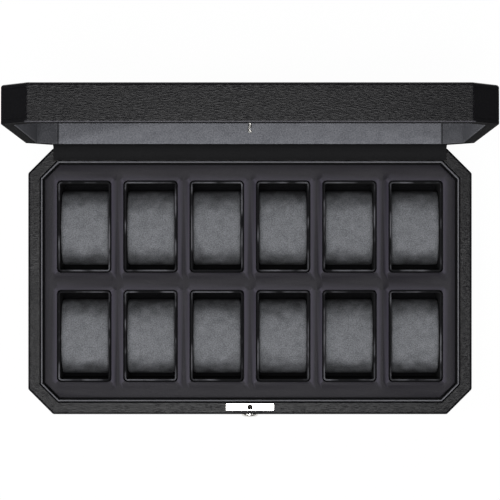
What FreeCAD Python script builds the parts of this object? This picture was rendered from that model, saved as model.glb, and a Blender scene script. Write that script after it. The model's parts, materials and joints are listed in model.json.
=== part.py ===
import FreeCAD, Part
import math
import os

Vector = FreeCAD.Vector

# Outside of the closed box, in millimetres. The origin is the middle of the underside.
# X runs to the right, Y to the hinges at the back, Z up.
box_width = 362.0
box_depth = 217.0
base_height = 56.0
lid_height = 29.0
corner_leg = 20.3
corner_round = 2.5
rim_gap = 0.4
lid_open_angle = 91.6

# Wall build-up, from the outside in
leather = 1.0
board = 8.0
wall = leather + board + leather
felt = 1.0
bottom_board = 4.0
top_board = 4.0
turned_in_depth = 14.0
rim_round = 1.8
lid_edge_round = 2.2
border_line_width = 0.5
border_line_depth = 0.25
border_from_rim = 3.3
border_from_top = 3.6

# Collar that the lid drops over
collar_gap = 0.4
collar = 1.8
collar_proud = 2.5

# Tray with two rows of pockets
columns = 6
column_pitch = 54.15
row_pitch = 89.3
window_width = 44.6
window_length = 75.4
window_corner = 3.6
tray_gap = 1.6
tray_below_rim = 1.0
tray_floor = 1.5
pad = 3.2
pad_round = 2.2
liner = 1.2
liner_clearance = 1.2
liner_below_pad = 1.5
divider_clearance = 0.2

# Pillows
pillow_width = 39.2
pillow_length = 61.0
pillow_height = 43.0
pillow_lift = 0.2
pillow_shoulder = 18.0
pillow_crown = 3.5
pillow_belly = 3.0
pillow_end_round = 3.0

# Lock in the middle of the front wall
lock_line = 5.9
plate_width = 39.2
plate_depth = 5.95
plate = 1.2
plate_corner = 0.8
pin_hole_radius = 2.2
case_width = 30.0
case_height = 18.8
case_sheet = 0.8
case_front_wood = 1.5
key_below_rim = 15.0
plug_radius = 3.5
plug_flange_radius = 4.0
running_clearance = 0.06
peg_radius = 0.8
peg_throw = 1.7
bolt_slot_clearance = 0.15
escutcheon_radius = 7.0
escutcheon_stand = 2.8
escutcheon_tube_radius = 4.5
catch_length = 6.9
catch_radius = 1.5
catch_neck_radius = 1.1

# Hinges
hinge_centres = (-110.0, 110.0)
hinge_length = 50.0
hinge_leaf = 0.7
hinge_leaf_reach = 8.5
barrel_radius = 1.9
barrel_gap = 0.3
hinge_offset = 2.2
hinge_pin_radius = 0.8
hinge_pin_clearance = 0.05
knuckle_count = 5
knuckle_gap = 0.15
stop_tongue = 5.6
stop_tongue_thickness = 1.2
screw_head_radius = 1.7
screw_radius = 0.9
screw_length = 9.0
strip_half_width = 160.2
strip = 0.78
strip_bend_radius = 9.0
recess_clearance = 0.15

# Heights and lines that follow from the sizes above
half_width = box_width / 2
half_depth = box_depth / 2
rim = base_height
lid_rim = rim + rim_gap
lid_top = lid_rim + lid_height
axis_y = half_depth + hinge_offset
axis_z = rim + rim_gap / 2
wall_bottom = felt
boards_low = felt + leather
boards_high = rim - leather
floor_low = felt + bottom_board
pocket_floor = floor_low + tray_floor
pad_top = rim - tray_below_rim
pad_low = pad_top - pad
collar_out = wall + collar_gap
collar_in = collar_out + collar
tray_edge = collar_in + tray_gap
block_edge = collar_in + 0.3
lid_boards_low = lid_rim + leather
lid_boards_high = lid_top - leather - top_board
lock_y = -half_depth + lock_line
key_z = rim - key_below_rim

column_x = [(i - (columns - 1) / 2) * column_pitch for i in range(columns)]
row_y = [row_pitch / 2, -row_pitch / 2]
row_names = ["back", "front"]


def box(x0, x1, y0, y1, z0, z1):
    return Part.makeBox(x1 - x0, y1 - y0, z1 - z0, Vector(x0, y0, z0))


def prism(points, z0, z1):
    corners = [Vector(x, y, z0) for x, y in points]
    outline = Part.makePolygon(corners + corners[:1])
    return Part.Face(outline).extrude(Vector(0, 0, z1 - z0))


def octagon(inset):
    x = half_width - inset
    y = half_depth - inset
    leg = corner_leg - (2 - math.sqrt(2)) * inset
    return [
        (x - leg, -y),
        (x, -y + leg),
        (x, y - leg),
        (x - leg, y),
        (-x + leg, y),
        (-x, y - leg),
        (-x, -y + leg),
        (-x + leg, -y),
    ]


def upright_edges(shape):
    found = []
    for edge in shape.Edges:
        size = edge.BoundBox
        if size.XLength < 1e-4 and size.YLength < 1e-4 and size.ZLength > 1e-3:
            found.append(edge)
    return found


def level_edges(shape, z):
    found = []
    for edge in shape.Edges:
        size = edge.BoundBox
        if abs(size.ZMin - z) < 1e-4 and abs(size.ZMax - z) < 1e-4:
            found.append(edge)
    return found


def octagon_block(inset, z0, z1, corner=0.0):
    block = prism(octagon(inset), z0, z1)
    if corner > 0:
        block = block.makeFillet(corner, upright_edges(block))
    return block


def octagon_ring(outer_inset, inner_inset, z0, z1):
    return octagon_block(outer_inset, z0, z1).cut(octagon_block(inner_inset, z0 - 1, z1 + 1))


def rounded_block(cx, cy, size_x, size_y, z0, z1, corner):
    block = box(cx - size_x / 2, cx + size_x / 2, cy - size_y / 2, cy + size_y / 2, z0, z1)
    return block.makeFillet(corner, upright_edges(block))


def rod_x(radius, x0, x1, y, z):
    return Part.makeCylinder(radius, x1 - x0, Vector(x0, y, z), Vector(1, 0, 0))


def rod_y(radius, y0, y1, x, z):
    return Part.makeCylinder(radius, y1 - y0, Vector(x, y0, z), Vector(0, 1, 0))


def rod_z(radius, z0, z1, x, y):
    return Part.makeCylinder(radius, z1 - z0, Vector(x, y, z0), Vector(0, 0, 1))


def opened(shape):
    turned = shape.copy()
    turned.rotate(Vector(0, axis_y, axis_z), Vector(1, 0, 0), -lid_open_angle)
    return turned


def mirrored_to_lid(shape):
    return shape.mirror(Vector(0, 0, axis_z), Vector(0, 0, 1))


def save(name, shapes):
    whole = shapes[0] if len(shapes) == 1 else Part.makeCompound(shapes)
    whole.exportStep("parts/" + name + ".step")


# Wall boards: each of the eight sides is one board, mitred where it meets the next.
def wall_board(side, z0, z1):
    out = octagon(leather)
    inner = octagon(leather + board)
    after = (side + 1) % 8
    return prism([out[side], out[after], inner[after], inner[side]], z0, z1)


side_numbers = {"right": 1, "back": 3, "left": 5, "front": 7}
corner_numbers = [0, 2, 4, 6]


# Pressed border line that runs round the leather
def border_line(z):
    low = z - border_line_width / 2
    high = z + border_line_width / 2
    around = octagon_block(-2.0, low, high)
    kept = octagon_block(border_line_depth, low - 1, high + 1, corner_round - border_line_depth)
    return around.cut(kept)


# Seats cut for the metal fittings
def hinge_seat(x):
    reach = half_depth - hinge_leaf_reach
    half = hinge_length / 2 + recess_clearance
    low = boards_high - hinge_leaf - 0.05
    return box(x - half, x + half, reach - recess_clearance, half_depth + 1, low, rim + 0.1)


def screw(x, y, top):
    profile = [
        Vector(0, 0, top),
        Vector(screw_head_radius, 0, top),
        Vector(screw_radius, 0, top - hinge_leaf),
        Vector(screw_radius, 0, top - screw_length + 1.5),
        Vector(0, 0, top - screw_length),
        Vector(0, 0, top),
    ]
    body = Part.Face(Part.makePolygon(profile)).revolve(Vector(0, 0, 0), Vector(0, 0, 1), 360)
    body.translate(Vector(x, y, 0))
    return body


screw_places = []
for centre in hinge_centres:
    for side in (-1, 1):
        screw_places.append((centre + side * 17.0, half_depth - 5.2))

base_screws = [screw(x, y, boards_high) for x, y in screw_places]
lid_screws = [mirrored_to_lid(piece) for piece in base_screws]
base_hinge_seats = [hinge_seat(x) for x in hinge_centres]
lid_hinge_seats = [mirrored_to_lid(seat) for seat in base_hinge_seats]
strip_seat = box(-strip_half_width - 0.3, strip_half_width + 0.3, half_depth - wall - 0.2,
                 half_depth + 1, boards_high, rim + 0.1)
lid_strip_seat = mirrored_to_lid(strip_seat)

plate_seat = rounded_block(0, lock_y, plate_width + 0.3, plate_depth + 0.3,
                           rim - plate - 0.02, rim + 1, plate_corner + 0.15)
case_front = -half_depth + leather + case_front_wood
case_back = -half_depth + leather + board - 0.1
case_top = rim - plate
case_low = case_top - case_height
case_seat = box(-case_width / 2 - 0.1, case_width / 2 + 0.1, case_front - 0.1, case_back + 0.2,
                case_low - 0.1, rim)
key_tunnel = rod_y(escutcheon_tube_radius + 0.1, -half_depth - 1, case_front, 0, key_z)


# Leather over the base: outside skin, rim and a turned-in band inside the wall
def make_base_leather():
    skin = octagon_block(0, wall_bottom, rim, corner_round)
    skin = skin.makeFillet(rim_round, level_edges(skin, rim))
    skin = skin.makeFillet(0.8, level_edges(skin, wall_bottom))
    skin = skin.cut(octagon_ring(leather, leather + board, boards_low, boards_high))
    skin = skin.cut(octagon_block(leather + board, 0, rim - turned_in_depth))
    skin = skin.cut(octagon_block(wall, 0, rim + 1))
    inner_edges = []
    for edge in level_edges(skin, rim):
        middle = edge.CenterOfMass
        if abs(middle.x) < half_width - wall + 0.2 and abs(middle.y) < half_depth - wall + 0.2:
            inner_edges.append(edge)
    skin = skin.makeFillet(0.9, inner_edges)
    skin = skin.cut(border_line(rim - border_from_rim))
    skin = skin.cut(border_line(wall_bottom + border_from_rim))
    for cutter in [strip_seat, plate_seat, key_tunnel] + base_hinge_seats:
        skin = skin.cut(cutter)
    return skin.removeSplitter()


# Leather over the lid, with a pressed line near its top edge and near its rim
def make_lid_leather():
    skin = octagon_block(0, lid_rim, lid_top, corner_round)
    skin = skin.makeFillet(lid_edge_round, level_edges(skin, lid_top))
    skin = skin.makeFillet(1.0, level_edges(skin, lid_rim))
    skin = skin.cut(octagon_block(leather, lid_boards_low, lid_top - leather))
    skin = skin.cut(octagon_block(leather + board, lid_rim - 1, lid_boards_low + 1))
    skin = skin.cut(border_line(lid_rim + border_from_rim))
    skin = skin.cut(border_line(lid_top - border_from_top))
    skin = skin.cut(rod_z(catch_neck_radius + 0.02, lid_rim - 1, lid_boards_low + 1, 0, lock_y))
    for cutter in [lid_strip_seat] + lid_hinge_seats:
        skin = skin.cut(cutter)
    return skin.removeSplitter()


def make_collar():
    ring = octagon_ring(collar_out, collar_in, floor_low, rim + collar_proud)
    return ring.makeFillet(collar * 0.44, level_edges(ring, rim + collar_proud))


# Padded tray cover with a rounded window over every pocket
def make_tray_pad():
    cover = octagon_block(tray_edge, pad_low, pad_top, 2.0)
    for y in row_y:
        for x in column_x:
            cover = cover.cut(rounded_block(x, y, window_width, window_length, pad_low - 1, pad_top + 1,
                                            window_corner))
    return cover.makeFillet(pad_round, level_edges(cover, pad_top))


def make_liner(x, y):
    out_x = window_width - 2 * liner_clearance
    out_y = window_length - 2 * liner_clearance
    top = pad_top - liner_below_pad
    sleeve = rounded_block(x, y, out_x, out_y, pocket_floor, top, window_corner - liner_clearance)
    hollow = rounded_block(x, y, out_x - 2 * liner, out_y - 2 * liner, pocket_floor - 1, top + 1,
                           window_corner - liner_clearance - liner)
    sleeve = sleeve.cut(hollow)
    return sleeve.makeFillet(0.35, level_edges(sleeve, top))


# Egg-crate dividers: the cross pieces are slotted from above, the long one from below.
liner_half_x = window_width / 2 - liner_clearance + divider_clearance
liner_half_y = window_length / 2 - liner_clearance + divider_clearance
divider_half_x = column_pitch / 2 - liner_half_x
divider_half_y = row_pitch / 2 - liner_half_y
tray_half_x = column_x[-1] + liner_half_x
tray_half_y = row_y[0] + liner_half_y
lap = (pocket_floor + pad_low) / 2


def make_cross_divider(x):
    plain = box(x - divider_half_x, x + divider_half_x, -tray_half_y, tray_half_y, pocket_floor, pad_low)
    slot = box(x - 30, x + 30, -divider_half_y - 0.05, divider_half_y + 0.05, lap, pad_low + 1)
    return plain.cut(slot)


def make_long_divider():
    plain = box(-tray_half_x, tray_half_x, -divider_half_y, divider_half_y, pocket_floor, pad_low)
    for i in range(columns - 1):
        x = (column_x[i] + column_x[i + 1]) / 2
        reach = divider_half_x + 0.05
        plain = plain.cut(box(x - reach, x + reach, -30, 30, pocket_floor - 1, lap))
    return plain


def make_end_rail(sign):
    edge = octagon(block_edge)
    x_edge = half_width - block_edge
    y_edge = half_depth - block_edge
    corner_y = edge[2][1]
    corner_x = edge[3][0]
    points = [
        (-x_edge, tray_half_y),
        (x_edge, tray_half_y),
        (x_edge, corner_y),
        (corner_x, y_edge),
        (-corner_x, y_edge),
        (-x_edge, corner_y),
    ]
    rail = prism(points, pocket_floor, pad_low)
    if sign < 0:
        rail = rail.mirror(Vector(0, 0, 0), Vector(0, 1, 0))
    return rail


def make_side_rail(sign):
    low, high = sorted((sign * tray_half_x, sign * (half_width - block_edge)))
    return box(low, high, -tray_half_y, tray_half_y, pocket_floor, pad_low)


# Pillow: an oval profile of four arcs, drawn across the pocket and rounded at both ends
def make_pillow(x, y):
    low = pocket_floor + pillow_lift
    top = low + pillow_height
    mid = low + pillow_height * 0.49
    half = pillow_length / 2
    start = x - pillow_width / 2

    def at(dy, z):
        return Vector(start, y + dy, z)

    back_shoulder = at(pillow_shoulder, top - pillow_crown)
    front_shoulder = at(-pillow_shoulder, top - pillow_crown)
    back_belly = at(pillow_shoulder, low + pillow_belly)
    front_belly = at(-pillow_shoulder, low + pillow_belly)
    crown = Part.Arc(front_shoulder, at(0, top), back_shoulder)
    back = Part.Arc(back_shoulder, at(half, mid), back_belly)
    belly = Part.Arc(back_belly, at(0, low), front_belly)
    front = Part.Arc(front_belly, at(-half, mid), front_shoulder)
    outline = Part.Wire([arc.toShape() for arc in (crown, back, belly, front)])
    body = Part.Face(outline).extrude(Vector(pillow_width, 0, 0))
    ends = []
    for edge in body.Edges:
        if edge.BoundBox.XLength < 1e-4:
            ends.append(edge)
    return body.makeFillet(pillow_end_round, ends)


# Lock: plate in the rim, case below it, plug with an eccentric peg, bolt with a tongue
def make_lock_plate():
    sheet = rounded_block(0, lock_y, plate_width, plate_depth, rim - plate, rim, plate_corner)
    sheet = sheet.cut(rod_z(pin_hole_radius, rim - plate - 1, rim + 1, 0, lock_y))
    return sheet.makeChamfer(0.25, level_edges(sheet, rim))


def make_lock_case():
    shell = box(-case_width / 2, case_width / 2, case_front, case_back, case_low, case_top)
    shell = shell.makeFillet(0.6, upright_edges(shell))
    inside = box(-case_width / 2 + case_sheet, case_width / 2 - case_sheet, case_front + case_sheet,
                 case_back - case_sheet, case_low + case_sheet, case_top + 1)
    shell = shell.cut(inside)
    return shell.cut(rod_y(plug_radius + running_clearance, case_front - 1, case_front + 2, 0, key_z))


peg_x = peg_throw * math.sin(math.radians(45))
peg_z = key_z + peg_throw * math.cos(math.radians(45))
flange_front = case_front + case_sheet + 0.1
flange_back = flange_front + 0.8
bolt_front = flange_back + 0.3
bolt_back = case_back - case_sheet - 0.2


def make_key_cylinder():
    front = -half_depth - escutcheon_stand + 0.4
    plug = rod_y(plug_radius, front, flange_back, 0, key_z)
    rim_edges = [edge for edge in plug.Edges if edge.BoundBox.YMax < front + 0.01]
    plug = plug.makeChamfer(0.35, rim_edges)
    plug = plug.fuse(rod_y(plug_flange_radius, flange_front, flange_back, 0, key_z))
    plug = plug.fuse(rod_y(peg_radius, flange_back - 0.1, bolt_back - 0.4, peg_x, peg_z))
    keyhole = box(-0.6, 0.6, front - 1, front + 4.2, key_z - 2.3, key_z + 2.3)
    return plug.cut(keyhole).removeSplitter()


def make_escutcheon():
    face = -half_depth
    tip = face - escutcheon_stand
    bore = plug_radius + running_clearance
    corners = [
        Vector(bore, case_front - 0.02, 0),
        Vector(escutcheon_tube_radius, case_front - 0.02, 0),
        Vector(escutcheon_tube_radius, face, 0),
        Vector(escutcheon_radius, face, 0),
        Vector(escutcheon_radius, face - 0.9, 0),
        Vector(escutcheon_radius - 2.2, tip, 0),
        Vector(bore + 0.4, tip, 0),
        Vector(bore, tip + 0.4, 0),
    ]
    edges = [Part.makeLine(corners[i], corners[i + 1]) for i in range(4)]
    dome = Part.Arc(corners[4], Vector(escutcheon_radius - 0.75, tip + 0.62, 0), corners[5])
    edges.append(dome.toShape())
    edges.append(Part.makeLine(corners[5], corners[6]))
    edges.append(Part.makeLine(corners[6], corners[7]))
    edges.append(Part.makeLine(corners[7], corners[0]))
    ring = Part.Face(Part.Wire(edges)).revolve(Vector(0, 0, 0), Vector(0, 1, 0), 360)
    ring.translate(Vector(0, 0, key_z))
    return ring


def make_lock_bolt():
    low = case_low + case_sheet + 0.2
    tongue_tip = 2.6
    outline = [
        (-6.5, low),
        (9.0, low),
        (9.0, rim - 2.4),
        (4.4, rim - 2.4),
        (4.4, rim - 3.2),
        (tongue_tip, rim - 3.2),
        (tongue_tip, rim - 4.5),
        (4.4, rim - 4.5),
        (4.4, rim - 9.5),
        (-6.5, rim - 9.5),
    ]
    corners = [Vector(x, bolt_front, z) for x, z in outline]
    bolt = Part.Face(Part.makePolygon(corners + corners[:1])).extrude(Vector(0, bolt_back - bolt_front, 0))
    half = peg_radius + bolt_slot_clearance
    slot_low = peg_z - 0.2
    slot_high = key_z + peg_throw + 0.2
    slot = box(peg_x - half, peg_x + half, bolt_front - 1, bolt_back + 1, slot_low, slot_high)
    slot = slot.fuse(rod_y(half, bolt_front - 1, bolt_back + 1, peg_x, slot_low))
    slot = slot.fuse(rod_y(half, bolt_front - 1, bolt_back + 1, peg_x, slot_high))
    return bolt.cut(slot)


# Catch pin in the lid's front rim, notched on one side for the bolt's tongue
def make_catch_pin():
    tip = lid_rim - catch_length
    profile = [
        (0, tip),
        (catch_radius - 0.7, tip),
        (catch_radius, tip + 0.7),
        (catch_radius, lid_rim - 2.0),
        (catch_neck_radius, lid_rim - 1.7),
        (catch_neck_radius, lid_rim + 11.0),
        (0, lid_rim + 12.2),
    ]
    corners = [Vector(r, 0, z) for r, z in profile]
    pin = Part.Face(Part.makePolygon(corners + corners[:1])).revolve(Vector(0, 0, 0), Vector(0, 0, 1), 360)
    notch = box(0, 3, -3, 3, rim - 4.8, rim - 2.9)
    pin = pin.cut(notch)
    pin.translate(Vector(0, lock_y, 0))
    return pin


# Stop hinge: two leaves, five knuckles, and tongues that meet the back of the base when open
def knuckle_span(centre, number):
    each = hinge_length / knuckle_count
    start = centre - hinge_length / 2 + number * each
    low = start if number == 0 else start + knuckle_gap
    high = start + each if number == knuckle_count - 1 else start + each - knuckle_gap
    return low, high


def make_leaf(centre, numbers, with_tongue):
    plate_low = boards_high - hinge_leaf
    leaf = box(centre - hinge_length / 2, centre + hinge_length / 2, half_depth - hinge_leaf_reach,
               axis_y - barrel_radius - barrel_gap, plate_low, boards_high)
    for number in numbers:
        low, high = knuckle_span(centre, number)
        leaf = leaf.fuse(box(low, high, half_depth - 3, axis_y, plate_low, boards_high))
        leaf = leaf.fuse(rod_x(barrel_radius, low, high, axis_y, axis_z))
        if with_tongue:
            tongue_high = axis_z + barrel_radius - 0.1
            leaf = leaf.fuse(box(low, high, axis_y, axis_y + stop_tongue,
                                 tongue_high - stop_tongue_thickness, tongue_high))
    bore = hinge_pin_radius + hinge_pin_clearance
    leaf = leaf.cut(rod_x(bore, centre - hinge_length, centre + hinge_length, axis_y, axis_z))
    for piece in base_screws:
        leaf = leaf.cut(piece)
    return leaf.removeSplitter()


def make_hinge_pin(centre):
    half = hinge_length / 2
    pin = rod_x(hinge_pin_radius, centre - half - 0.2, centre + half + 0.2, axis_y, axis_z)
    head = hinge_pin_radius + 0.6
    pin = pin.fuse(rod_x(head, centre - half - 0.8, centre - half - 0.1, axis_y, axis_z))
    pin = pin.fuse(rod_x(head, centre + half + 0.1, centre + half + 0.8, axis_y, axis_z))
    return pin.removeSplitter()


# Strip over the hinges at rest: flat on the base rim, a cove, then flat on the open lid's rim
def make_hinge_strip():
    angle = math.radians(lid_open_angle)
    along = (-math.cos(angle), math.sin(angle))
    toward = (-math.sin(angle), -math.cos(angle))
    face_drop = rim_gap / 2 + leather - strip - 0.02
    base_reach = hinge_offset + wall - 0.2
    lid_reach = hinge_offset + leather + board - 0.1
    centre_up = strip_bend_radius - face_drop
    centre_back = -centre_up * (1 + math.cos(angle)) / math.sin(angle)
    centre = (axis_y + centre_back, axis_z + centre_up)

    def side_points(radius, drop):
        base_end = Vector(0, axis_y - base_reach, axis_z - drop)
        base_bend = Vector(0, centre[0], axis_z - drop)
        lid_bend = Vector(0, centre[0] - toward[0] * radius, centre[1] - toward[1] * radius)
        lid_end = Vector(0, axis_y - toward[0] * drop + along[0] * lid_reach,
                         axis_z - toward[1] * drop + along[1] * lid_reach)
        half_turn = (math.pi * 1.5 + math.atan2(-toward[1], -toward[0]) + 2 * math.pi) / 2
        middle_y = centre[0] + radius * math.cos(half_turn)
        middle_z = centre[1] + radius * math.sin(half_turn)
        middle = Vector(0, middle_y, middle_z)
        return base_end, base_bend, middle, lid_bend, lid_end

    front = side_points(strip_bend_radius, face_drop)
    back = side_points(strip_bend_radius + strip, face_drop + strip)
    edges = [
        Part.makeLine(front[0], front[1]),
        Part.Arc(front[1], front[2], front[3]).toShape(),
        Part.makeLine(front[3], front[4]),
        Part.makeLine(front[4], back[4]),
        Part.makeLine(back[4], back[3]),
        Part.Arc(back[3], back[2], back[1]).toShape(),
        Part.makeLine(back[1], back[0]),
        Part.makeLine(back[0], front[0]),
    ]
    sheet = Part.Face(Part.Wire(edges)).extrude(Vector(2 * strip_half_width, 0, 0))
    sheet.translate(Vector(-strip_half_width, 0, 0))
    return sheet


os.makedirs("parts", exist_ok=True)

# Base walls
save("base_felt", [octagon_block(2.5, 0, felt, 2.0)])
save("base_bottom_board", [octagon_block(leather + board, felt, floor_low)])
for name, side in side_numbers.items():
    piece = wall_board(side, boards_low, boards_high)
    if name == "front":
        for cutter in (plate_seat, case_seat, key_tunnel):
            piece = piece.cut(cutter)
    if name == "back":
        for cutter in base_hinge_seats + base_screws:
            piece = piece.cut(cutter)
    save("base_" + name + "_board", [piece])
save("base_corner_boards", [wall_board(side, boards_low, boards_high) for side in corner_numbers])
save("base_leather", [make_base_leather()])
save("inner_collar", [make_collar()])

# Tray
save("tray_floor", [octagon_block(collar_in + 0.2, floor_low, pocket_floor)])
save("tray_long_divider", [make_long_divider()])
for i in range(columns - 1):
    save("tray_cross_divider_%d" % (i + 1), [make_cross_divider((column_x[i] + column_x[i + 1]) / 2)])
save("tray_back_rail", [make_end_rail(1)])
save("tray_front_rail", [make_end_rail(-1)])
save("tray_left_rail", [make_side_rail(-1)])
save("tray_right_rail", [make_side_rail(1)])
save("tray_pad", [make_tray_pad()])
save("pocket_liners", [make_liner(x, y) for y in row_y for x in column_x])

# Pillows
for y, row_name in zip(row_y, row_names):
    for i, x in enumerate(column_x):
        save("pillow_%s_%d" % (row_name, i + 1), [make_pillow(x, y)])

# Lock
save("lock_plate", [make_lock_plate()])
save("lock_case", [make_lock_case()])
save("key_cylinder", [make_key_cylinder()])
save("key_escutcheon", [make_escutcheon()])
save("lock_bolt", [make_lock_bolt()])

# Hinges
base_leaves = [make_leaf(x, (0, 2, 4), False) for x in hinge_centres]
lid_leaves = [mirrored_to_lid(make_leaf(x, (1, 3), True)) for x in hinge_centres]
save("hinge_base_leaves", base_leaves)
save("hinge_base_screws", base_screws)
save("hinge_pins", [make_hinge_pin(x) for x in hinge_centres])
save("hinge_lid_leaves", [opened(leaf) for leaf in lid_leaves])
save("hinge_lid_screws", [opened(piece) for piece in lid_screws])
save("hinge_strip", [make_hinge_strip()])

# Lid, built closed and then turned open about the hinge axis
for name, side in side_numbers.items():
    piece = wall_board(side, lid_boards_low, lid_boards_high)
    if name == "front":
        piece = piece.cut(make_catch_pin())
    if name == "back":
        for cutter in lid_hinge_seats + lid_screws:
            piece = piece.cut(cutter)
    save("lid_" + name + "_board", [opened(piece)])
lid_corners = [wall_board(side, lid_boards_low, lid_boards_high) for side in corner_numbers]
save("lid_corner_boards", [opened(piece) for piece in lid_corners])
save("lid_top_board", [opened(octagon_block(leather, lid_boards_high, lid_boards_high + top_board))])
save("lid_leather", [opened(make_lid_leather())])
lining = octagon_ring(leather + board, wall, lid_rim + 0.2, lid_boards_high)
save("lid_wall_lining", [opened(lining.makeFillet(0.4, level_edges(lining, lid_rim + 0.2)))])
panel = octagon_block(wall + 0.05, lid_boards_high - 3.0, lid_boards_high, 1.5)
save("lid_top_lining", [opened(panel.makeFillet(1.5, level_edges(panel, lid_boards_high - 3.0)))])
save("catch_pin", [opened(make_catch_pin())])
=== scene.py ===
# %% [markdown]
# # A watch box with twelve pillows
# The hard parts of this box (boards, leather wraps, collar, lock, hinges) come from the CAD frame.
# Here the soft parts are modelled as by hand, every surface gets its finish, and the box is set
# up under soft studio light, seen from straight above with the lid open.

# %% Load the frame
import json
import math

import bmesh
import bpy
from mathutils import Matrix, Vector


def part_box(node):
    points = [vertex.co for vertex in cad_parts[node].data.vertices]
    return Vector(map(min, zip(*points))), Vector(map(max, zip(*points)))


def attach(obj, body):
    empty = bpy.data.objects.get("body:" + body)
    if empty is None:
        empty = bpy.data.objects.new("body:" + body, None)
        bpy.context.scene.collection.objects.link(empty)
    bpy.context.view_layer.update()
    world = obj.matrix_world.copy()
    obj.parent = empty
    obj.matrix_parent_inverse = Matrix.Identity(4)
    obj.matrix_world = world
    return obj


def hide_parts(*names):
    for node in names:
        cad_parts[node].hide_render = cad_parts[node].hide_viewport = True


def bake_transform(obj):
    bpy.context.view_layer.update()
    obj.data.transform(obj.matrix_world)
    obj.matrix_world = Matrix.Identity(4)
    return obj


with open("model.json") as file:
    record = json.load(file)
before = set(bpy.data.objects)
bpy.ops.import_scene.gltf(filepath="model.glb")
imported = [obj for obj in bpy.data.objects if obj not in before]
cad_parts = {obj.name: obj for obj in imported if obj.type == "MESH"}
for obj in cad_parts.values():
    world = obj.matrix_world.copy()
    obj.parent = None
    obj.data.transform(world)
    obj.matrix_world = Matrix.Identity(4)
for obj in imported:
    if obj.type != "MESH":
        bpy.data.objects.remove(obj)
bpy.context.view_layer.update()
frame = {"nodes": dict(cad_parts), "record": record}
nodes = frame["nodes"]
mm = 0.001

# %% [markdown]
# ## Camera
# The photograph looks straight down. The lid's top edge is about 220 mm nearer the lens than the
# base rim and is drawn 12 percent larger, which puts the lens about 1.8 m above the rim.
# The aim point is the middle of the picture, a little behind the middle of the base.

# %% Camera
rim_height = 56 * mm
lens_above_rim = 1808 * mm
aim_behind_middle = 25.5 * mm
camera_data = bpy.data.cameras.new("overhead_camera")
camera_data.sensor_width = 36
camera_data.lens = 159.6
camera = bpy.data.objects.new("overhead_camera", camera_data)
camera.location = (0, aim_behind_middle, rim_height + lens_above_rim)
bpy.context.scene.collection.objects.link(camera)
bpy.context.scene.camera = camera
print("lens", camera_data.lens, "mm at", [round(c, 3) for c in camera.location])

# %% [markdown]
# ## Helpers for modelling
# Each operator acts on everything that is selected, so a piece is first made the only selected one.
# In edit mode, faces, edges and corners are then picked in code by where they are. Two places that
# are closer than `touch` count as the same place.

# %% Selection helpers
touch = 0.01 * mm


def make_active(piece):
    if bpy.context.object and bpy.context.object.mode != "OBJECT":
        bpy.ops.object.mode_set(mode="OBJECT")
    bpy.ops.object.select_all(action="DESELECT")
    piece.select_set(True)
    bpy.context.view_layer.objects.active = piece


def start_edit(piece):
    make_active(piece)
    bpy.ops.object.mode_set(mode="EDIT")
    bpy.ops.mesh.select_all(action="SELECT")


def end_edit():
    bpy.ops.object.mode_set(mode="OBJECT")


def pick(piece, what, test):
    bpy.ops.mesh.select_mode(type={"verts": "VERT", "edges": "EDGE", "faces": "FACE"}[what])
    bpy.ops.mesh.select_all(action="DESELECT")
    mesh = bmesh.from_edit_mesh(piece.data)
    chosen = [element for element in getattr(mesh, what) if test(element)]
    for element in chosen:
        element.select_set(True)
    mesh.select_flush_mode()
    bmesh.update_edit_mesh(piece.data)
    return len(chosen)


# %% [markdown]
# Several pieces start as a plane, lose their four corners to make the octagon, take a modifier and
# are shaded smooth up to a crease angle. Those steps are written once. Every finished piece reports
# its size, because a slip in a unit shows there first.

# %% Shaping helpers
crease_angle = math.radians(40)
sharp_edge = math.radians(50)


def new_plane(name, size):
    bpy.ops.object.select_all(action="DESELECT")
    bpy.ops.mesh.primitive_plane_add(size=size, location=(0, 0, 0))
    bpy.context.object.name = name
    return bpy.context.object


def cut_corners(half_x, half_y, leg):
    for sx in (-1, 1):
        for sy in (-1, 1):
            on_cut = (sx * (half_x - leg / 2), sy * (half_y - leg / 2), 0)
            bpy.ops.mesh.select_all(action="SELECT")
            bpy.ops.mesh.bisect(plane_co=on_cut, plane_no=(sx, sy, 0), clear_outer=True)


def use_modifier(piece, kind, **settings):
    modifier = piece.modifiers.new(kind.lower(), kind)
    for key, value in settings.items():
        setattr(modifier, key, value)
    make_active(piece)
    bpy.ops.object.modifier_apply(modifier=modifier.name)


def smooth_up_to_creases(piece):
    make_active(piece)
    bpy.ops.object.shade_smooth_by_angle(angle=crease_angle)


def box_of(name):
    return [Vector(corner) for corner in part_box(name)]


def reach_of(piece):
    places = [corner.co for corner in piece.data.vertices]
    low = Vector([min(place[i] for place in places) for i in range(3)])
    high = Vector([max(place[i] for place in places) for i in range(3)])
    return low, high


def in_mm(place):
    return [round(1000 * c, 1) for c in place]


def report_piece(piece):
    low, high = reach_of(piece)
    print(piece.name, "faces", len(piece.data.polygons), "from", in_mm(low), "to", in_mm(high), "mm")


# %% [markdown]
# ## Helpers for finishes
# Colours are written as sRGB hex values and turned to linear light in one place. One small function
# adds a shader node with its settings and its links, and hands back one of its outputs when asked.
# Patterns are sized in millimetres on Object coordinates, so they stay on the piece when it moves.


# %% Finish helpers
def linear(hex_colour):
    parts = [int(hex_colour[i:i + 2], 16) / 255 for i in (1, 3, 5)]
    curve = [p / 12.92 if p <= 0.04045 else ((p + 0.055) / 1.055) ** 2.4 for p in parts]
    return (*curve, 1.0)


def add(tree, kind, settings=None, links=None, out=None):
    node = tree.nodes.new("ShaderNode" + kind)
    for key, value in (settings or {}).items():
        if isinstance(key, int) or key in node.inputs:
            node.inputs[key].default_value = value
        else:
            setattr(node, key, value)
    for key, source in (links or {}).items():
        tree.links.new(source, node.inputs[key])
    return node if out is None else node.outputs[out]


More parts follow.
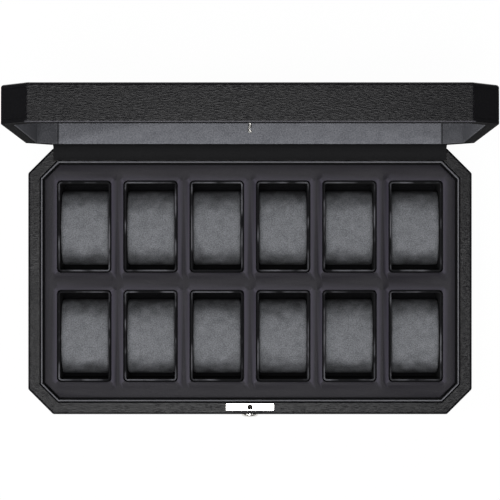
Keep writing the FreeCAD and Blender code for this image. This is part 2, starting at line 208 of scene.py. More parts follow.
def new_finish(name):
    finish = bpy.data.materials.new(name)
    finish.use_nodes = True
    tree = finish.node_tree
    shader = tree.nodes["Principled BSDF"]
    place = add(tree, "TexCoord", out="Object")
    return finish, tree, shader, place


def way_it_faces(tree):
    normal = add(tree, "TexCoord", out="Normal")
    return add(tree, "SeparateXYZ", {}, {0: normal}).outputs


def per_metre(size_mm):
    return 1000.0 / size_mm


# The Mix node keeps its colours in these sockets.
colour_a, colour_b, mixed_colour = 6, 7, 2

# %% [markdown]
# ## Grained leather
# The outside is coated split leather, embossed with a fine grain and coloured nearly black. The
# grain is drawn out sideways into short creases. Stretched cells of a Voronoi pattern give the
# pebbles, a finer noise breaks them up, and a bump of a few hundredths of a millimetre raises them.
# The domes are a little lighter and glossier than the creases between them.

# %% Leather grain
wander_span, wander_push = 2.5, 0.9
crease_share = 0.32
fine_span, fine_height = 0.35, 0.35
cloud_mm, cloud_full = 45, 0.7
crease_dulls, dome_shines = 0.1, 0.06


def grain(tree, place, grain_mm, stretch):
    turned = add(tree, "Mapping", {"Scale": stretch}, {"Vector": place}, "Vector")
    wander = add(tree, "TexNoise", {"Scale": per_metre(grain_mm * wander_span), "Detail": 2.0},
                 {"Vector": turned}, "Color")
    pushed = add(tree, "VectorMath", {"operation": "MULTIPLY_ADD", 1: (grain_mm * mm * wander_push,) * 3},
                 {0: wander, 2: turned}, "Vector")
    pebbles = add(tree, "TexVoronoi", {"feature": "DISTANCE_TO_EDGE", "Scale": per_metre(grain_mm)},
                  {"Vector": pushed}, "Distance")
    domes = add(tree, "MapRange", {"From Max": crease_share, "interpolation_type": "SMOOTHSTEP"},
                {"Value": pebbles}, "Result")
    fine = add(tree, "TexNoise", {"Scale": per_metre(grain_mm * fine_span), "Detail": 3.0},
               {"Vector": place}, "Fac")
    height = add(tree, "Math", {"operation": "MULTIPLY_ADD", 1: fine_height}, {0: fine, 2: domes}, "Value")
    return domes, height


# %% [markdown]
# On the lid's front rim a thin lighter band above the dark rim face is a painted highlight, standing in for
# the light that the rounded edge catches. The slanted corner faces and the rim face look dull and black in
# the photograph, so they are set fully rough. Both are found by place and by the way a face looks.

# %% Leather at the lid's rim
looks_forward = -0.8
slants = 0.3


def lid_rim(tree, place, tint, gloss, rim_highlight):
    rim_highlight_colour, band_above, band_before = rim_highlight
    spot = add(tree, "SeparateXYZ", {}, {0: place}).outputs
    way = way_it_faces(tree)
    high = add(tree, "Math", {"operation": "GREATER_THAN", 1: band_above * mm}, {0: spot["Z"]}, "Value")
    near = add(tree, "Math", {"operation": "LESS_THAN", 1: band_before * mm}, {0: spot["Y"]}, "Value")
    inside = add(tree, "Math", {"operation": "MULTIPLY"}, {0: high, 1: near}, "Value")
    rim_face = add(tree, "Math", {"operation": "LESS_THAN", 1: looks_forward}, {0: way["Y"]}, "Value")
    rim_highlight_mask = add(tree, "Math", {"operation": "SUBTRACT"}, {0: inside, 1: rim_face}, "Value")
    # Painted highlight: the thin lighter band along the lid's front rim edge.
    tint = add(tree, "Mix", {"data_type": "RGBA", colour_b: linear(rim_highlight_colour)},
               {0: rim_highlight_mask, colour_a: tint}, mixed_colour)
    across = add(tree, "Math", {"operation": "MULTIPLY"}, {0: way["X"], 1: way["Z"]}, "Value")
    slant = add(tree, "Math", {"operation": "ABSOLUTE"}, {0: across}, "Value")
    corner_face = add(tree, "Math", {"operation": "GREATER_THAN", 1: slants}, {0: slant}, "Value")
    matt = add(tree, "Math", {"operation": "MAXIMUM"}, {0: rim_face, 1: corner_face}, "Value")
    gloss = add(tree, "Math", {"operation": "MAXIMUM"}, {0: gloss, 1: matt}, "Value")
    return tint, gloss


# %% [markdown]
# Three leathers share this recipe: the grained wrap, the smooth tray cover and the matt hinge strip.
# The tray cover has a painted highlight along its window edges, where a rolled edge catches the light. An
# attribute of its mesh, made with the cover further down, says how much.


# %% Leather finishes
def leather_finish(name, light, dark, grain_mm, stretch, relief_mm, roughness, specular,
                   rim_highlight=None, edge_highlight=None):
    finish, tree, shader, place = new_finish(name)
    domes, height = grain(tree, place, grain_mm, stretch)
    broad = add(tree, "TexNoise", {"Scale": per_metre(cloud_mm), "Detail": 4.0}, {"Vector": place}, "Fac")
    shade = add(tree, "Math", {"operation": "MULTIPLY"}, {0: domes, 1: broad}, "Value")
    spread = add(tree, "MapRange", {"From Max": cloud_full}, {"Value": shade}, "Result")
    tint = add(tree, "Mix", {"data_type": "RGBA", colour_a: linear(dark), colour_b: linear(light)},
               {0: spread}, mixed_colour)
    gloss = add(tree, "MapRange", {"To Min": roughness + crease_dulls, "To Max": roughness - dome_shines},
                {"Value": shade}, "Result")
    if rim_highlight:
        tint, gloss = lid_rim(tree, place, tint, gloss, rim_highlight)
    # Painted highlight along the tray's window edges, read from the mesh attribute named stretch.
    if edge_highlight:
        highlight_amount = add(tree, "Attribute", {"attribute_name": "stretch"}, out="Fac")
        tint = add(tree, "Mix", {"data_type": "RGBA", colour_b: linear(edge_highlight)},
                   {0: highlight_amount, colour_a: tint}, mixed_colour)
    tree.links.new(tint, shader.inputs["Base Color"])
    tree.links.new(gloss, shader.inputs["Roughness"])
    bump = add(tree, "Bump", {"Strength": 1.0, "Distance": relief_mm * mm}, {"Height": height}, "Normal")
    tree.links.new(bump, shader.inputs["Normal"])
    shader.inputs["IOR"].default_value = 1.48
    shader.inputs["Specular IOR Level"].default_value = specular
    return finish


even = (1.0, 1.0, 1.0)
drawn_sideways = (0.17, 1.0, 1.0)
# The grained leather carries a painted highlight band on the lid's front rim.
grained_leather = leather_finish(
    "grained_coated_leather", "#100f12", "#08080a", grain_mm=0.9, stretch=drawn_sideways,
    relief_mm=0.042, roughness=0.2, specular=0.108, rim_highlight=("#3e3d42", 274.0, 118.1))
# The tray leather's paler edge colour is a painted highlight along the window edges.
tray_leather = leather_finish(
    "smooth_tray_leather", "#19171e", "#141218", grain_mm=1.1, stretch=even,
    relief_mm=0.02, roughness=0.3, specular=0.08, edge_highlight="#322f39")
strip_leather = leather_finish(
    "matt_strip_leather", "#1f1f20", "#181819", grain_mm=1.0, stretch=even,
    relief_mm=0.02, roughness=0.6, specular=0.02)
print("leathers:", grained_leather.name, tray_leather.name, strip_leather.name)

# %% [markdown]
# ## Suede
# Pillows and lid lining are a knitted microfibre with a brushed nap. The nap lies in patches that catch the
# light differently, so the colour wanders over a few millimetres, and single fibres give a fine mottle. Faces
# that turn away, toward the pillow ends and on the lining's corner faces, are darkened as painted shade,
# standing in for the shade that falls there, and a noise makes its edge uneven.

# %% Suede: painted shade on faces that turn away
unevenness_mm = 11
unevenness_seen = {"From Min": 0.3, "From Max": 0.7, "To Min": -0.13, "To Max": 0.2}
turn_from, turn_to = 0.36, 1.0


def shade_turned_faces(tree, place, tint, turned_shade):
    axis, darkest_shade = turned_shade
    marks = add(tree, "TexNoise", {"Scale": per_metre(unevenness_mm), "Detail": 3.0}, {"Vector": place}, "Fac")
    unevenness = add(tree, "MapRange", unevenness_seen, {"Value": marks}, "Result")
    turn_with_unevenness = add(tree, "Math", {"operation": "ADD"}, {0: way_it_faces(tree)[axis], 1: unevenness}, "Value")
    slope = add(tree, "Math", {"operation": "ABSOLUTE"}, {0: turn_with_unevenness}, "Value")
    # Painted shade: the more a face turns along the axis, the darker its colour.
    turned_factor = add(tree, "MapRange", {"From Min": turn_from, "From Max": turn_to, "To Min": 1.0,
               "To Max": darkest_shade}, {"Value": slope}, "Result")
    return add(tree, "Mix", {"data_type": "RGBA", "blend_type": "MULTIPLY", 0: 1.0},
               {colour_a: tint, colour_b: turned_factor}, mixed_colour)


# %% [markdown]
# The photograph shows a seam near one end of the lid's lower lining, with the lining beyond it darker. It is
# put at both ends. Only faces that look up with the lid open have it.

# %% Suede: sewn end pieces
seam_soft = 0.2
seam_half = 0.7
seam_dark = 0.3
looks_up = 0.5


def sew_ends(tree, place, tint, seam):
    seam_at, end_shade = seam
    across = add(tree, "SeparateXYZ", {}, {0: place}, "X")
    out = add(tree, "Math", {"operation": "ABSOLUTE"}, {0: across}, "Value")
    end_piece = add(tree, "MapRange", {"From Min": (seam_at - seam_soft) * mm,
                    "From Max": (seam_at + seam_soft) * mm, "To Min": 1.0, "To Max": end_shade},
                    {"Value": out}, "Result")
    stitch = add(tree, "Math", {"operation": "COMPARE", 1: seam_at * mm, 2: seam_half * mm},
                 {0: out}, "Value")
    fold = add(tree, "MapRange", {"To Min": 1.0, "To Max": seam_dark}, {"Value": stitch}, "Result")
    shade = add(tree, "Math", {"operation": "MULTIPLY"}, {0: end_piece, 1: fold}, "Value")
    on_wall = add(tree, "Math", {"operation": "GREATER_THAN", 1: looks_up},
                  {0: way_it_faces(tree)["Z"]}, "Value")
    return add(tree, "Mix", {"data_type": "RGBA", "blend_type": "MULTIPLY"},
               {0: on_wall, colour_a: tint, colour_b: shade}, mixed_colour)


# %% [markdown]
# The collar is a folded strip. Its crest keeps the pale grey, which is partly its own colour and partly a
# painted highlight along its top, and its flanks are painted dark, as the shade and the joints beside it. The
# crest follows the octagon, so its place is measured as a distance in from the box's outline. Each pocket
# liner has a painted highlight along its top edge, paler in some places and fading out in others.

# %% Suede: collar crest and liner edge, painted highlight and shade
outline = (((1, 0, 0), 181.0), ((0, 1, 0), 108.5), ((0.7071, 0.7071, 0), 190.35))
flank_shade_colour = "#1c1c1e"
edge_patch_mm = 20
edge_patch_seen = {"From Min": 0.47, "From Max": 0.63}


def inset_from_outline(tree, place):
    spot = add(tree, "VectorMath", {"operation": "ABSOLUTE"}, {0: place}, "Vector")
    insets = []
    for normal, reach in outline:
        along = add(tree, "VectorMath", {"operation": "DOT_PRODUCT", 1: normal}, {0: spot}, "Value")
        insets.append(add(tree, "Math", {"operation": "SUBTRACT", 0: reach * mm}, {1: along}, "Value"))
    nearer = add(tree, "Math", {"operation": "MINIMUM"}, {0: insets[0], 1: insets[1]}, "Value")
    return add(tree, "Math", {"operation": "MINIMUM"}, {0: nearer, 1: insets[2]}, "Value")


def crest_and_shaded_flanks(tree, place, tint, ridge):
    ridge_from, ridge_to = (size * mm for size in ridge)
    inset = inset_from_outline(tree, place)
    past = add(tree, "Math", {"operation": "GREATER_THAN", 1: ridge_from}, {0: inset}, "Value")
    short = add(tree, "Math", {"operation": "LESS_THAN", 1: ridge_to}, {0: inset}, "Value")
    crest = add(tree, "Math", {"operation": "MULTIPLY"}, {0: past, 1: short}, "Value")
    # Painted shade on the collar's flanks; the grey crest partly stands for its highlight.
    return add(tree, "Mix", {"data_type": "RGBA", colour_a: linear(flank_shade_colour)},
               {0: crest, colour_b: tint}, mixed_colour)


def patchy_edge_highlight(tree, place, tint, painted_edge_light):
    edge_light_colour, edge_height = painted_edge_light
    height = add(tree, "SeparateXYZ", {}, {0: place}, "Z")
    above = add(tree, "Math", {"operation": "GREATER_THAN", 1: edge_height * mm}, {0: height}, "Value")
    edge_patches = add(tree, "TexNoise", {"Scale": per_metre(edge_patch_mm), "Detail": 2.0}, {"Vector": place}, "Fac")
    shown = add(tree, "MapRange", edge_patch_seen, {"Value": edge_patches}, "Result")
    amount = add(tree, "Math", {"operation": "MULTIPLY"}, {0: above, 1: shown}, "Value")
    # Painted highlight: the liner's top edge is paler, in patches.
    return add(tree, "Mix", {"data_type": "RGBA", colour_b: linear(edge_light_colour)},
               {0: amount, colour_a: tint}, mixed_colour)


# %% [markdown]
# All the soft and matt surfaces share one recipe: suede, the covered cards, felt and foam. They are
# very rough and reflect little. Only the felt has a sheen, from its loose fibres.

# %% Suede finishes
patch_share, fibre_share = 0.7, 1.8
nap_seen = {"From Min": 0.9, "From Max": 1.6}


def suede_finish(name, light, dark, patch_mm, fibre_mm, relief_mm, sheen=0.0,
                 turned_shade=None, seam=None, ridge=None, painted_edge_light=None):
    finish, tree, shader, place = new_finish(name)
    patches = add(tree, "TexNoise", {"Scale": per_metre(patch_mm), "Detail": 4.0, "Roughness": 0.6,
                  "Distortion": 0.2}, {"Vector": place}, "Fac")
    fibres = add(tree, "TexNoise", {"Scale": per_metre(fibre_mm), "Detail": 2.0}, {"Vector": place}, "Fac")
    faint = add(tree, "Math", {"operation": "MULTIPLY", 1: patch_share}, {0: patches}, "Value")
    nap = add(tree, "Math", {"operation": "MULTIPLY_ADD", 1: fibre_share}, {0: fibres, 2: faint}, "Value")
    spread = add(tree, "MapRange", nap_seen, {"Value": nap}, "Result")
    tint = add(tree, "Mix", {"data_type": "RGBA", colour_a: linear(dark), colour_b: linear(light)},
               {0: spread}, mixed_colour)
    for step, sizes in ((shade_turned_faces, turned_shade), (sew_ends, seam), (crest_and_shaded_flanks, ridge), (patchy_edge_highlight, painted_edge_light)):
        if sizes:
            tint = step(tree, place, tint, sizes)
    tree.links.new(tint, shader.inputs["Base Color"])
    bump = add(tree, "Bump", {"Strength": 0.8, "Distance": relief_mm * mm}, {"Height": nap}, "Normal")
    tree.links.new(bump, shader.inputs["Normal"])
    shader.inputs["Roughness"].default_value = 0.95
    shader.inputs["IOR"].default_value = 1.45
    shader.inputs["Specular IOR Level"].default_value = 0.2
    shader.inputs["Sheen Weight"].default_value = sheen
    shader.inputs["Sheen Roughness"].default_value = 0.5
    return finish


# The pillows and the lining carry painted shade on faces that turn away.
pillow_suede = suede_finish("grey_microfibre_suede", "#747579", "#505255", 7.0, 0.75, 0.09,
                            turned_shade=("Y", 0.2))
lining_suede = suede_finish("grey_lining_suede", "#727378", "#57585d", 9.0, 1.0, 0.08,
                            turned_shade=("X", 0.9), seam=(155.5, 0.6))
collar_cover = suede_finish("grey_collar_cover", "#66666a", "#57575b", 6.0, 1.0, 0.05, ridge=(10.9, 11.85))
# The liners' near-black is partly their own colour and partly painted shade of the narrow gaps; their top
# edge has a painted highlight.
liner_cover = suede_finish("grey_liner_cover", "#141416", "#0e0e10", 6.0, 1.0, 0.05,
                           painted_edge_light=("#525256", 53.2))
felt_finish = suede_finish("black_felt", "#1e1e1e", "#121212", 5.0, 0.9, 0.15, sheen=0.2)
# The foam's near-black is partly its own colour and partly painted shade, where it shows between the tray
# cover and the liners.
foam_finish = suede_finish("dense_foam", "#121214", "#0c0c0e", 3.0, 0.8, 0.2)
print("suedes:", pillow_suede.name, lining_suede.name, collar_cover.name, liner_cover.name)

# %% [markdown]
# ## Metal and board
# The lock plate, pin and key ring are polished nickel plate: mirror-like, with faint hairlines. The
# hinges are plain plated steel with a coarser brushed surface. The hidden boards are fibreboard.

# %% Metal and board finishes
along_the_brush = (0.06, 1.0, 1.0)
clouding_mm = 6
chip_mm = 1.5


def metal_finish(name, light, dark, hairline_mm, smooth, rough):
    finish, tree, shader, place = new_finish(name)
    drawn = add(tree, "Mapping", {"Scale": along_the_brush}, {"Vector": place}, "Vector")
    lines = add(tree, "TexNoise", {"Scale": per_metre(hairline_mm), "Detail": 3.0}, {"Vector": drawn}, "Fac")
    clouds = add(tree, "TexNoise", {"Scale": per_metre(clouding_mm), "Detail": 3.0}, {"Vector": place}, "Fac")
    tint = add(tree, "Mix", {"data_type": "RGBA", colour_a: linear(dark), colour_b: linear(light)},
               {0: clouds}, mixed_colour)
    gloss = add(tree, "MapRange", {"From Min": 0.3, "From Max": 0.7, "To Min": smooth, "To Max": rough},
                {"Value": lines}, "Result")
    bump = add(tree, "Bump", {"Strength": 0.25, "Distance": 0.02 * mm}, {"Height": lines}, "Normal")
    tree.links.new(tint, shader.inputs["Base Color"])
    tree.links.new(gloss, shader.inputs["Roughness"])
    tree.links.new(bump, shader.inputs["Normal"])
    shader.inputs["Metallic"].default_value = 1.0
    return finish


def board_finish(name, light, dark):
    finish, tree, shader, place = new_finish(name)
    chips = add(tree, "TexNoise", {"Scale": per_metre(chip_mm), "Detail": 5.0}, {"Vector": place}, "Fac")
    tint = add(tree, "Mix", {"data_type": "RGBA", colour_a: linear(dark), colour_b: linear(light)},
               {0: chips}, mixed_colour)
    bump = add(tree, "Bump", {"Strength": 0.5, "Distance": 0.1 * mm}, {"Height": chips}, "Normal")
    tree.links.new(tint, shader.inputs["Base Color"])
    tree.links.new(bump, shader.inputs["Normal"])
    shader.inputs["Roughness"].default_value = 0.85
    return finish


polished_nickel = metal_finish("polished_nickel_plate", "#e8e6e2", "#d3d1cc", 0.5, 0.12, 0.24)
hinge_steel = metal_finish("plated_hinge_steel", "#a8a49c", "#8c8880", 0.6, 0.28, 0.42)
dark_steel = metal_finish("blackened_lock_steel", "#2a2927", "#1d1c1b", 0.6, 0.4, 0.55)
fibreboard = board_finish("black_core_fibreboard", "#26221e", "#181614")
print("metals and board:", polished_nickel.name, hinge_steel.name, fibreboard.name)

# %% [markdown]
# ## Finishes on the CAD nodes
# The record gives each node a slot, and each slot has one finish. The lock's bolt and case share the
# hinges' slot, but they are blackened steel on many locks, so they are set by name.

# %% Give every CAD node its finish
finish_of_slot = {
    "board": fibreboard,
    "grained_leather": grained_leather,
    "tray_leather": tray_leather,
    "strip_leather": strip_leather,
    "collar_card": collar_cover,
    "liner_card": liner_cover,
    "foam_block": foam_finish,
    "floor_card": liner_cover,
    "felt": felt_finish,
    "pillow_suede": pillow_suede,
    "lining_suede": lining_suede,
    "polished_nickel": polished_nickel,
    "hinge_steel": hinge_steel,
}


def give_finish(node, finish):
    for slot in node.material_slots:
        slot.material = finish


for entry in frame["record"]["subparts"]:
    give_finish(nodes[entry["node"]], finish_of_slot[entry["material_slot"]])
for name in ("lock_bolt", "lock_case"):
    give_finish(nodes[name], dark_steel)

# %% [markdown]
# ## Pillows
# Each pillow is a foam oval in a sewn suede cover: an oval tube laid across the pocket, closed by
# two end panels. It starts as a cylinder whose end edges are rounded like a sewn seam. It is made
# smaller than the pocket allows, by the amount that it will swell.

# %% Model one pillow
pillow_names = sorted(name for name in nodes if name.startswith("pillow_"))
first_low, first_high = box_of(pillow_names[0])
pillow_size = first_high - first_low
seam_round = 0.6 * mm
swell = 1.6 * mm

bpy.ops.object.select_all(action="DESELECT")
bpy.ops.mesh.primitive_cylinder_add(vertices=48, radius=0.5, depth=1.0, location=(0, 0, 0),
                                    rotation=(0, math.pi / 2, 0))
pillow = bpy.context.object
pillow.name = "pillow_form"
make_active(pillow)
bpy.ops.object.transform_apply(location=True, rotation=True, scale=True)
start_edit(pillow)
bpy.ops.transform.resize(value=tuple(side - 2 * swell for side in pillow_size), center_override=(0, 0, 0))
end_at = pillow_size.x / 2 - swell
pick(pillow, "edges", lambda e: all(abs(abs(v.co.x) - end_at) < touch for v in e.verts)
     and len(e.link_faces) == 2)
bpy.ops.mesh.bevel(offset=seam_round, segments=4, profile=0.5)
end_edit()
report_piece(pillow)

# %% [markdown]
# A short cloth simulation with air pressure inside makes the cover swell between its seams, as a
# stuffed cover does. The mesh is made even first, and no corner may move further than a limit, so
# the pillow still fits. The end panels are then pressed flat, because the pocket's walls hold them.


# %% Swell the pillow by cloth simulation
def swell_by_cloth(piece, voxel, pressure, limit, last_frame=20):
    use_modifier(piece, "REMESH", mode="VOXEL", voxel_size=voxel)
    start = [corner.co.copy() for corner in piece.data.vertices]
    cloth = piece.modifiers.new("swell", "CLOTH")
    cloth.settings.use_pressure = True
    cloth.settings.uniform_pressure_force = pressure
    cloth.settings.effector_weights.gravity = 0
    cloth.settings.tension_stiffness = 30
    cloth.settings.compression_stiffness = 30
    cloth.settings.bending_stiffness = 2
    cloth.point_cache.frame_start = 1
    cloth.point_cache.frame_end = last_frame
    for step in range(1, last_frame + 1):
        bpy.context.scene.frame_set(step)
    make_active(piece)
    bpy.ops.object.modifier_apply(modifier=cloth.name)
    bpy.context.scene.frame_set(1)
    for corner, before in zip(piece.data.vertices, start):
        moved = corner.co - before
        if moved.length > limit:
            corner.co = before + moved * (limit / moved.length)
    most = max((c.co - b).length for c, b in zip(piece.data.vertices, start))
    print(piece.name, "swelled by up to", round(1000 * most, 2), "mm")


def press_ends(piece, depth):
    reach = max(corner.co.x for corner in piece.data.vertices) - depth
    start_edit(piece)
    for side in (-1, 1):
        pick(piece, "verts", lambda v: side * v.co.x > reach)
        bpy.ops.transform.resize(value=(0, 1, 1), center_override=(side * reach, 0, 0))
    end_edit()


swell_by_cloth(pillow, voxel=1.2 * mm, pressure=4.0, limit=swell * 1.2)
press_ends(pillow, depth=1.1 * mm)
use_modifier(pillow, "SMOOTH", factor=0.5, iterations=1)
report_piece(pillow)

# %% [markdown]
# The swollen form is brought back to the size that the pocket allows, a touch wider so that it sits
# snug between the liners. A copy with its own mesh goes into each pocket, a little forward, as in
# the photograph.

# %% Copy the pillow into every pocket
snug = (0.55 * mm, 0, 0)
lean_forward = 0.9 * mm
form_low, form_high = reach_of(pillow)
fit = [(pillow_size[i] + snug[i]) / (form_high[i] - form_low[i]) for i in range(3)]
start_edit(pillow)
bpy.ops.transform.translate(value=-(form_low + form_high) / 2)
bpy.ops.transform.resize(value=fit, center_override=(0, 0, 0))
end_edit()
make_active(pillow)
bpy.ops.object.shade_smooth()

for name in pillow_names:
    low, high = box_of(name)
    copy = pillow.copy()
    copy.data = pillow.data.copy()
    copy.name = name.replace("pillow", "suede_pillow")
    bpy.context.scene.collection.objects.link(copy)
    start_edit(copy)
    bpy.ops.transform.translate(value=(low + high) / 2 - Vector((0, lean_forward, 0)))
    end_edit()
    copy.data.materials.clear()
    copy.data.materials.append(pillow_suede)
    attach(copy, name)
    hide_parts(name)
bpy.data.objects.remove(pillow)
print("pillows:", len(pillow_names))

# %% [markdown]
# ## Tray cover
# The tray is covered with one smooth leather sheet over thin foam, with a window for each pocket.
# It starts as a plane cut to the octagon. It is scored along every window edge and along the middle
# of every bar and margin, and then loses the window faces.

# %% Tray cover: sheet with windows
pad_low, pad_high = box_of("tray_pad")
column_pitch = 54.15 * mm
row_pitch = 89.3 * mm
window_half = (44.6 / 2 * mm, 75.4 / 2 * mm)
corner_leg = 12.2 * mm
crown = 0.6 * mm
column_places = [(i - 2.5) * column_pitch for i in range(6)]
row_places = [-row_pitch / 2, row_pitch / 2]


def both_sides(places, half):
    return [place + side * half for place in places for side in (-1, 1)]


def margin_middles(edge, places, half):
    return [side * (edge + places[-1] + half) / 2 for side in (-1, 1)]


window_edges_x = both_sides(column_places, window_half[0])
window_edges_y = both_sides(row_places, window_half[1])
margins_x = margin_middles(pad_high.x, column_places, window_half[0])
margins_y = margin_middles(pad_high.y, row_places, window_half[1])
middles_x = [x + column_pitch / 2 for x in column_places[:-1]] + margins_x
middles_y = [0.0] + margins_y


def in_window(place):
    in_x = any(abs(place.x - x) < window_half[0] for x in column_places)
    in_y = any(abs(place.y - y) < window_half[1] for y in row_places)
    return in_x and in_y


cover = new_plane("tray_cover", 1.0)
start_edit(cover)
bpy.ops.transform.resize(value=(pad_high.x - pad_low.x, pad_high.y - pad_low.y, 1), center_override=(0, 0, 0))
bpy.ops.transform.translate(value=(0, 0, pad_high.z - crown))
cut_corners(pad_high.x, pad_high.y, corner_leg)
for x in window_edges_x + middles_x:
    bpy.ops.mesh.select_all(action="SELECT")
    bpy.ops.mesh.bisect(plane_co=(x, 0, 0), plane_no=(1, 0, 0))
for y in window_edges_y + middles_y:
    bpy.ops.mesh.select_all(action="SELECT")
    bpy.ops.mesh.bisect(plane_co=(0, y, 0), plane_no=(0, 1, 0))
print("window faces:", pick(cover, "faces", lambda f: in_window(f.calc_center_median())))
bpy.ops.mesh.delete(type="FACE")
end_edit()
report_piece(cover)

# %% [markdown]
# The windows get rounded corners. The bars are raised along their middles and the margins as a whole,
# because foam under leather always crowns. A thickness and softly rolled edges finish the cover.

# %% Tray cover: crown, rounded windows, thickness, rolled edges
window_corner = 3.6 * mm
roll = 2.1 * mm


def near_any(value, places):
    return any(abs(value - place) < touch for place in places)


def at_window_corner(place):
    return near_any(place.x, window_edges_x) and near_any(place.y, window_edges_y)


def on_crown(place):
    in_margin = abs(place.x) > margins_x[-1] - touch or abs(place.y) > margins_y[-1] - touch
    return near_any(place.x, middles_x) or near_any(place.y, middles_y) or in_margin


start_edit(cover)
print("window corners:", pick(cover, "verts", lambda v: at_window_corner(v.co)))
bpy.ops.mesh.bevel(offset=window_corner, segments=5, profile=0.5, affect="VERTICES")
print("crown corners:", pick(cover, "verts", lambda v: on_crown(v.co)))
bpy.ops.transform.translate(value=(0, 0, crown))
end_edit()
use_modifier(cover, "SOLIDIFY", thickness=pad_high.z - pad_low.z - crown, offset=-1.0)
use_modifier(cover, "BEVEL", width=roll, segments=6, limit_method="ANGLE", angle_limit=sharp_edge)
smooth_up_to_creases(cover)
report_piece(cover)

# %% [markdown]
# Along each window the tray leather gets a painted highlight, standing in for the light that the rolled edges
# catch. It is strongest along the sides of each window, weaker at the back edge and faint at the front edge.
# Each corner of the mesh stores its strength, in the attribute named stretch, and the tray leather reads
# that.

# %% Tray cover: painted highlight along the window edges
highlight_reach = 2.8 * mm
side_highlight, back_highlight, front_highlight = 1.0, 0.6, 0.1


def edge_highlight_at(place):
    if place.z <= pad_high.z - highlight_reach / 2:
        return 0.0
    most = 0.0
    for x in column_places:
        for y in row_places:
            beside = abs(place.x - x) - window_half[0]
            beyond = abs(place.y - y) - window_half[1]
            away = math.hypot(max(beside, 0), max(beyond, 0))
            fade = min(1.0, max(0.0, (highlight_reach - away) / (highlight_reach / 2)))
            highlight_share = side_highlight if beside > beyond else (back_highlight if place.y > y else front_highlight)
            most = max(most, fade * highlight_share)
    return most


# The attribute named stretch holds the strength of the painted highlight.
stretch = cover.data.attributes.new("stretch", "FLOAT", "POINT")
stretch.data.foreach_set("value", [edge_highlight_at(corner.co) for corner in cover.data.vertices])
cover.data.materials.append(tray_leather)
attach(cover, "base")
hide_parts("tray_pad")
print("stretched corners:", sum(1 for corner in stretch.data if corner.value > 0))

# %% [markdown]
# ## Lid panel
# Inside the lid a card covered with thin foam and suede fills the frame of the walls. It is flat at
# its edge and gently crowned in the middle: each step goes further in and rises by a smaller share of
# the crown. It is modelled lying closed and then turned with the lid, about the hinge line, because
# its edges are easy to place there.

# %% Lid panel
open_angle = math.radians(91.6)
hinge_line = Vector((0, 110.7 * mm, 56.2 * mm))
panel_half = (170.95 * mm, 98.45 * mm)
panel_leg = 14.4 * mm
panel_face = 77.4 * mm
panel_back = 80.4 * mm
panel_crown = 1.6 * mm
panel_edge_round = 0.8 * mm
crown_steps = ((1.6 * mm, 0.55), (7 * mm, 0.3), (20 * mm, 0.12), (30 * mm, 0.03))


def draw_out(way):
    bpy.ops.mesh.extrude_region_move(TRANSFORM_OT_translate={"value": way})


panel = new_plane("lid_panel_padded", 2.0)
start_edit(panel)
bpy.ops.transform.resize(value=(panel_half[0], panel_half[1], 1), center_override=(0, 0, 0))
bpy.ops.transform.translate(value=(0, 0, panel_back))
cut_corners(panel_half[0], panel_half[1], panel_leg)
bpy.ops.mesh.select_all(action="SELECT")
bpy.ops.mesh.flip_normals()
draw_out((0, 0, panel_face + panel_crown - panel_back))
reach_x, reach_y = panel_half
for step_in, rise in crown_steps:
    draw_out((0, 0, -panel_crown * rise))
    narrower = ((reach_x - step_in) / reach_x, (reach_y - step_in) / reach_y, 1)
    bpy.ops.transform.resize(value=narrower, center_override=(0, 0, 0))
    reach_x -= step_in
    reach_y -= step_in
bpy.ops.mesh.select_all(action="SELECT")
bpy.ops.mesh.normals_make_consistent(inside=False)
pick(panel, "edges", lambda e: all(abs(v.co.z - panel_back) < touch for v in e.verts))
bpy.ops.mesh.edge_face_add()
bpy.ops.mesh.select_all(action="SELECT")
bpy.ops.mesh.normals_make_consistent(inside=False)
bpy.ops.transform.rotate(value=open_angle, orient_axis="X", center_override=hinge_line)
end_edit()
use_modifier(panel, "BEVEL", width=panel_edge_round, segments=3, limit_method="ANGLE", angle_limit=sharp_edge)
smooth_up_to_creases(panel)
panel.data.materials.append(lining_suede)
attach(panel, "lid")
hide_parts("lid_top_lining")
report_piece(panel)

# %% [markdown]
# ## Hinge strip
# A smooth leather strip is glued along the base rim and along the lid rim and hides the hinges. With
# the lid open it makes a hollow curve between the two. First the curve is laid out: its centre is
# where a circle of the bend's radius touches both glued parts.

# %% Hinge strip: layout
strip_half = 160.2 * mm
strip_thick = 0.7 * mm
bend = 9.35 * mm
inner_edge = 98.75 * mm
lid_edge = 99.65 * mm
strip_low = 55.42 * mm
centre_up = bend - (hinge_line.z - strip_low)
centre_back = centre_up * (1 + math.cos(open_angle)) / math.sin(open_angle)
bend_centre = Vector((0, hinge_line.y - centre_back, hinge_line.z + centre_up))
flat_run = bend_centre.y - inner_edge
lid_run = hinge_line.y - lid_edge - centre_back
lid_way = Vector((0, -math.cos(open_angle), math.sin(open_angle)))
print("strip runs in mm:", round(1000 * flat_run, 2), round(1000 * lid_run, 2))

# %% [markdown]
# A plane makes the flat part on the base. Its back edge is spun about the curve's centre and drawn out along
# the lid's rim. A faint waviness and a real thickness finish the strip.

# %% Hinge strip
bend_steps = 18
cuts_along = 70
lengthwise = 100 * mm
ripple_size, ripple_depth = 18 * mm, 0.22 * mm

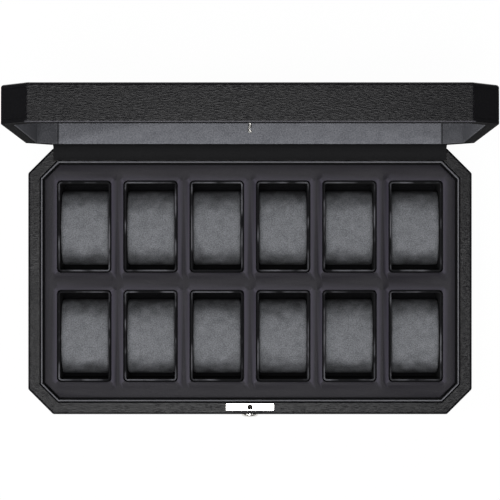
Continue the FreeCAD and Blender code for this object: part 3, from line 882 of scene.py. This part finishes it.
strip = new_plane("hinge_strip_leather", 2.0)
start_edit(strip)
bpy.ops.transform.resize(value=(strip_half, flat_run / 2, 1), center_override=(0, 0, 0))
bpy.ops.transform.translate(value=(0, inner_edge + flat_run / 2, strip_low))
pick(strip, "edges", lambda e: all(abs(v.co.y - bend_centre.y) < touch for v in e.verts))
bpy.ops.mesh.spin(steps=bend_steps, angle=open_angle - math.pi, center=bend_centre, axis=(1, 0, 0))
draw_out(lid_way * lid_run)
pick(strip, "edges", lambda e: abs(e.verts[0].co.x - e.verts[1].co.x) > lengthwise)
bpy.ops.mesh.subdivide(number_cuts=cuts_along)
bpy.ops.mesh.select_all(action="SELECT")
bpy.ops.mesh.normals_make_consistent(inside=False)
end_edit()
ripple = bpy.data.textures.new("strip_ripple", "CLOUDS")
ripple.noise_scale = ripple_size
use_modifier(strip, "DISPLACE", texture=ripple, texture_coords="LOCAL", strength=ripple_depth, mid_level=0.5)
use_modifier(strip, "SOLIDIFY", thickness=strip_thick, offset=0.0)
smooth_up_to_creases(strip)
strip.data.materials.append(strip_leather)
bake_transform(strip)
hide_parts("hinge_strip")
report_piece(strip)

# %% [markdown]
# ## Studio floor
# The box stands on pale paper. To the camera, and in mirror-like metal, the paper glows almost white,
# as an evenly lit backdrop does. A little of the lit paper is left in, so that the box keeps its
# shadow. The glow shows in reflections on the box, and puts no other light on it.

# %% Floor
floor_size = 24.0
glow_share = 0.97
fibre_mm = 3
floor = new_plane("studio_floor", floor_size)
paper, tree, shader, place = new_finish("pale_paper_floor")
fibre = add(tree, "TexNoise", {"Scale": per_metre(fibre_mm), "Detail": 3.0}, {"Vector": place}, "Fac")
tint = add(tree, "Mix", {"data_type": "RGBA", colour_a: linear("#f4f4f4"), colour_b: linear("#fafafa")},
           {0: fibre}, mixed_colour)
tree.links.new(tint, shader.inputs["Base Color"])
shader.inputs["Roughness"].default_value = 1.0
shader.inputs["Specular IOR Level"].default_value = 0.0
ray = add(tree, "LightPath").outputs
mirrored = add(tree, "Math", {"operation": "MAXIMUM"},
               {0: ray["Is Glossy Ray"], 1: ray["Is Transmission Ray"]}, "Value")
seen = add(tree, "Math", {"operation": "MAXIMUM"}, {0: ray["Is Camera Ray"], 1: mirrored}, "Value")
whiter = add(tree, "Math", {"operation": "MULTIPLY", 1: glow_share}, {0: seen}, "Value")
glow = add(tree, "Emission", {"Color": (1, 1, 1, 1), "Strength": 1.0}, out="Emission")
paper_seen = add(tree, "MixShader", {}, {0: whiter, 1: shader.outputs["BSDF"], 2: glow}, "Shader")
tree.links.new(paper_seen, tree.nodes["Material Output"].inputs["Surface"])
floor.data.materials.append(paper)
print("floor", floor_size, "m")

# %% [markdown]
# ## Studio light
# A soft box above the box gives the main light and the broad reflection on every face that looks up.
# One in front and one behind light the walls in the other views. Two narrow ones at the sides lift
# the edges, the left one more, as in the photograph. A faint world light keeps the shadows open.


# %% Lamps and world
def softbox(name, place, width, depth, power, aim):
    data = bpy.data.lights.new(name, "AREA")
    data.shape = "RECTANGLE"
    data.size = width
    data.size_y = depth
    data.energy = power
    box = bpy.data.objects.new(name, data)
    box.location = place
    box.rotation_euler = (Vector(aim) - Vector(place)).to_track_quat("-Z", "Y").to_euler()
    box.visible_camera = False
    bpy.context.scene.collection.objects.link(box)
    print(name, power, "W")


box_middle = (0, 0, rim_height)
softbox("overhead_softbox", (-0.06, -0.17, 2.25), 0.9, 0.8, 33, (-0.06, -0.17, rim_height))
softbox("front_softbox", (-0.3, -1.6, 1.5), 1.0, 0.5, 13, box_middle)
softbox("back_softbox", (0.2, 2.2, 1.3), 2.0, 0.9, 16, box_middle)
softbox("left_softbox", (-1.5, -0.1, 1.6), 0.14, 0.9, 15, box_middle)
softbox("right_softbox", (1.5, -0.1, 1.6), 0.14, 0.9, 7, box_middle)
world = bpy.data.worlds.new("studio_world")
bpy.context.scene.world = world
world.use_nodes = True
sky = world.node_tree.nodes["Background"]
sky.inputs["Color"].default_value = linear("#f4f4f4")
sky.inputs["Strength"].default_value = 0.05
bpy.context.scene.view_settings.view_transform = "Standard"
print("world", round(sky.inputs["Strength"].default_value, 3))
